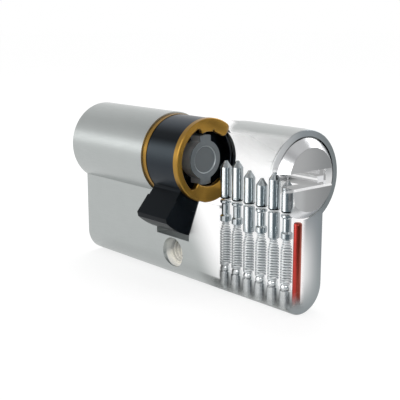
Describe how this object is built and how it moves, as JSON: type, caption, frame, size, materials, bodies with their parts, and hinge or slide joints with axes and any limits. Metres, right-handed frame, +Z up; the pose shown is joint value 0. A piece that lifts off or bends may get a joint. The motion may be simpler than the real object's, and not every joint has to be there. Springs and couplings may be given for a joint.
{
  "type": "lock cylinder",
  "caption": "Double-ended door lock cylinder of round-barrel and web profile, with sprung pin stacks below flat keyways, a turning cam lobe and a cross hole for its fixing screw.",
  "frame": {"origin": "middle of the fixing-screw hole, on the lock's middle plane", "axes": "+X along the barrel to the outer key face, -Y out of the front flank on which the cam lobe shows, +Z up from the web to the barrel"},
  "size_m": [0.063, 0.0187, 0.033],
  "materials": {
    "housing": "satin nickel plate on brass",
    "plug": "satin nickel plate on brass",
    "clip": "bare spring bronze",
    "cam": "black satin sintered steel",
    "coupling": "dark burnished steel",
    "pin": "bright turned nickel silver",
    "spring": "drawn spring steel wire",
    "closing_plug": "pale turned brass",
    "drill_pin": "red marked hardened steel"
  },
  "bodies": {
    "housing": {"housing": "housing", "drill_pin": "drill_pin", "closing_plugs_outer": "closing_plug", "closing_plugs_inner": "closing_plug", "pin_spring_outer_1": "spring", "pin_spring_outer_2": "spring", "pin_spring_outer_3": "spring", "pin_spring_outer_4": "spring", "pin_spring_outer_5": "spring", "pin_spring_outer_6": "spring", "pin_spring_inner_1": "spring", "pin_spring_inner_2": "spring", "pin_spring_inner_3": "spring", "pin_spring_inner_4": "spring", "pin_spring_inner_5": "spring", "pin_spring_inner_6": "spring"},
    "outer_plug": {"plug_outer": "plug", "clip_outer": "clip"},
    "inner_plug": {"plug_inner": "plug", "clip_inner": "clip"},
    "cam": {"cam": "cam"},
    "coupling": {"coupling": "coupling"},
    "key_pin_outer_1": {"key_pin_outer_1": "pin"},
    "key_pin_outer_2": {"key_pin_outer_2": "pin"},
    "key_pin_outer_3": {"key_pin_outer_3": "pin"},
    "key_pin_outer_4": {"key_pin_outer_4": "pin"},
    "key_pin_outer_5": {"key_pin_outer_5": "pin"},
    "key_pin_outer_6": {"key_pin_outer_6": "pin"},
    "key_pin_inner_1": {"key_pin_inner_1": "pin"},
    "key_pin_inner_2": {"key_pin_inner_2": "pin"},
    "key_pin_inner_3": {"key_pin_inner_3": "pin"},
    "key_pin_inner_4": {"key_pin_inner_4": "pin"},
    "key_pin_inner_5": {"key_pin_inner_5": "pin"},
    "key_pin_inner_6": {"key_pin_inner_6": "pin"},
    "driver_pin_outer_1": {"driver_pin_outer_1": "pin"},
    "driver_pin_outer_2": {"driver_pin_outer_2": "pin"},
    "driver_pin_outer_3": {"driver_pin_outer_3": "pin"},
    "driver_pin_outer_4": {"driver_pin_outer_4": "pin"},
    "driver_pin_outer_5": {"driver_pin_outer_5": "pin"},
    "driver_pin_outer_6": {"driver_pin_outer_6": "pin"},
    "driver_pin_inner_1": {"driver_pin_inner_1": "pin"},
    "driver_pin_inner_2": {"driver_pin_inner_2": "pin"},
    "driver_pin_inner_3": {"driver_pin_inner_3": "pin"},
    "driver_pin_inner_4": {"driver_pin_inner_4": "pin"},
    "driver_pin_inner_5": {"driver_pin_inner_5": "pin"},
    "driver_pin_inner_6": {"driver_pin_inner_6": "pin"}
  },
  "joints": [
    {"name": "outer_plug_turn", "type": "hinge", "parent": "housing", "child": "outer_plug", "pos_m": [0.03, 0, 0.0186], "axis": [1, 0, 0], "continuous": true},
    {"name": "inner_plug_turn", "type": "hinge", "parent": "housing", "child": "inner_plug", "pos_m": [-0.03, 0, 0.0186], "axis": [1, 0, 0], "continuous": true},
    {"name": "cam_turn", "type": "hinge", "parent": "housing", "child": "cam", "pos_m": [0, 0, 0.0186], "axis": [1, 0, 0], "continuous": true},
    {"name": "coupling_shift", "type": "slide", "parent": "cam", "child": "coupling", "axis": [1, 0, 0], "range_m": [-0.00269, 0]},
    {"name": "key_pin_outer_1_lift", "type": "slide", "parent": "outer_plug", "child": "key_pin_outer_1", "axis": [0, 0, 1], "range_m": [0, 0.00075]},
    {"name": "key_pin_outer_2_lift", "type": "slide", "parent": "outer_plug", "child": "key_pin_outer_2", "axis": [0, 0, 1], "range_m": [0, 0.0004]},
    {"name": "key_pin_outer_3_lift", "type": "slide", "parent": "outer_plug", "child": "key_pin_outer_3", "axis": [0, 0, 1], "range_m": [0, 0.0018]},
    {"name": "key_pin_outer_4_lift", "type": "slide", "parent": "outer_plug", "child": "key_pin_outer_4", "axis": [0, 0, 1], "range_m": [0, 0.00275]},
    {"name": "key_pin_outer_5_lift", "type": "slide", "parent": "outer_plug", "child": "key_pin_outer_5", "axis": [0, 0, 1], "range_m": [0, 0.00125]},
    {"name": "key_pin_outer_6_lift", "type": "slide", "parent": "outer_plug", "child": "key_pin_outer_6", "axis": [0, 0, 1], "range_m": [0, 0.0023]},
    {"name": "key_pin_inner_1_lift", "type": "slide", "parent": "inner_plug", "child": "key_pin_inner_1", "axis": [0, 0, 1], "range_m": [0, 0.00075]},
    {"name": "key_pin_inner_2_lift", "type": "slide", "parent": "inner_plug", "child": "key_pin_inner_2", "axis": [0, 0, 1], "range_m": [0, 0.0004]},
    {"name": "key_pin_inner_3_lift", "type": "slide", "parent": "inner_plug", "child": "key_pin_inner_3", "axis": [0, 0, 1], "range_m": [0, 0.0018]},
    {"name": "key_pin_inner_4_lift", "type": "slide", "parent": "inner_plug", "child": "key_pin_inner_4", "axis": [0, 0, 1], "range_m": [0, 0.00275]},
    {"name": "key_pin_inner_5_lift", "type": "slide", "parent": "inner_plug", "child": "key_pin_inner_5", "axis": [0, 0, 1], "range_m": [0, 0.00125]},
    {"name": "key_pin_inner_6_lift", "type": "slide", "parent": "inner_plug", "child": "key_pin_inner_6", "axis": [0, 0, 1], "range_m": [0, 0.0023]},
    {"name": "driver_pin_outer_1_press", "type": "slide", "parent": "housing", "child": "driver_pin_outer_1", "axis": [0, 0, 1], "range_m": [-0.0025, 0], "stiffness_N_per_m": 100, "springref_m": 0.003, "deforming": ["pin_spring_outer_1"]},
    {"name": "driver_pin_outer_2_press", "type": "slide", "parent": "housing", "child": "driver_pin_outer_2", "axis": [0, 0, 1], "range_m": [-0.0025, 0], "stiffness_N_per_m": 100, "springref_m": 0.003, "deforming": ["pin_spring_outer_2"]},
    {"name": "driver_pin_outer_3_press", "type": "slide", "parent": "housing", "child": "driver_pin_outer_3", "axis": [0, 0, 1], "range_m": [-0.0025, 0], "stiffness_N_per_m": 100, "springref_m": 0.003, "deforming": ["pin_spring_outer_3"]},
    {"name": "driver_pin_outer_4_press", "type": "slide", "parent": "housing", "child": "driver_pin_outer_4", "axis": [0, 0, 1], "range_m": [-0.0025, 0], "stiffness_N_per_m": 100, "springref_m": 0.003, "deforming": ["pin_spring_outer_4"]},
    {"name": "driver_pin_outer_5_press", "type": "slide", "parent": "housing", "child": "driver_pin_outer_5", "axis": [0, 0, 1], "range_m": [-0.0025, 0], "stiffness_N_per_m": 100, "springref_m": 0.003, "deforming": ["pin_spring_outer_5"]},
    {"name": "driver_pin_outer_6_press", "type": "slide", "parent": "housing", "child": "driver_pin_outer_6", "axis": [0, 0, 1], "range_m": [-0.0025, 0], "stiffness_N_per_m": 100, "springref_m": 0.003, "deforming": ["pin_spring_outer_6"]},
    {"name": "driver_pin_inner_1_press", "type": "slide", "parent": "housing", "child": "driver_pin_inner_1", "axis": [0, 0, 1], "range_m": [-0.0025, 0], "stiffness_N_per_m": 100, "springref_m": 0.003, "deforming": ["pin_spring_inner_1"]},
    {"name": "driver_pin_inner_2_press", "type": "slide", "parent": "housing", "child": "driver_pin_inner_2", "axis": [0, 0, 1], "range_m": [-0.0025, 0], "stiffness_N_per_m": 100, "springref_m": 0.003, "deforming": ["pin_spring_inner_2"]},
    {"name": "driver_pin_inner_3_press", "type": "slide", "parent": "housing", "child": "driver_pin_inner_3", "axis": [0, 0, 1], "range_m": [-0.0025, 0], "stiffness_N_per_m": 100, "springref_m": 0.003, "deforming": ["pin_spring_inner_3"]},
    {"name": "driver_pin_inner_4_press", "type": "slide", "parent": "housing", "child": "driver_pin_inner_4", "axis": [0, 0, 1], "range_m": [-0.0025, 0], "stiffness_N_per_m": 100, "springref_m": 0.003, "deforming": ["pin_spring_inner_4"]},
    {"name": "driver_pin_inner_5_press", "type": "slide", "parent": "housing", "child": "driver_pin_inner_5", "axis": [0, 0, 1], "range_m": [-0.0025, 0], "stiffness_N_per_m": 100, "springref_m": 0.003, "deforming": ["pin_spring_inner_5"]},
    {"name": "driver_pin_inner_6_press", "type": "slide", "parent": "housing", "child": "driver_pin_inner_6", "axis": [0, 0, 1], "range_m": [-0.0025, 0], "stiffness_N_per_m": 100, "springref_m": 0.003, "deforming": ["pin_spring_inner_6"]}
  ],
  "couplings": [
    {"joint": "cam_turn", "follows": "outer_plug_turn", "ratio": 1}
  ]
}
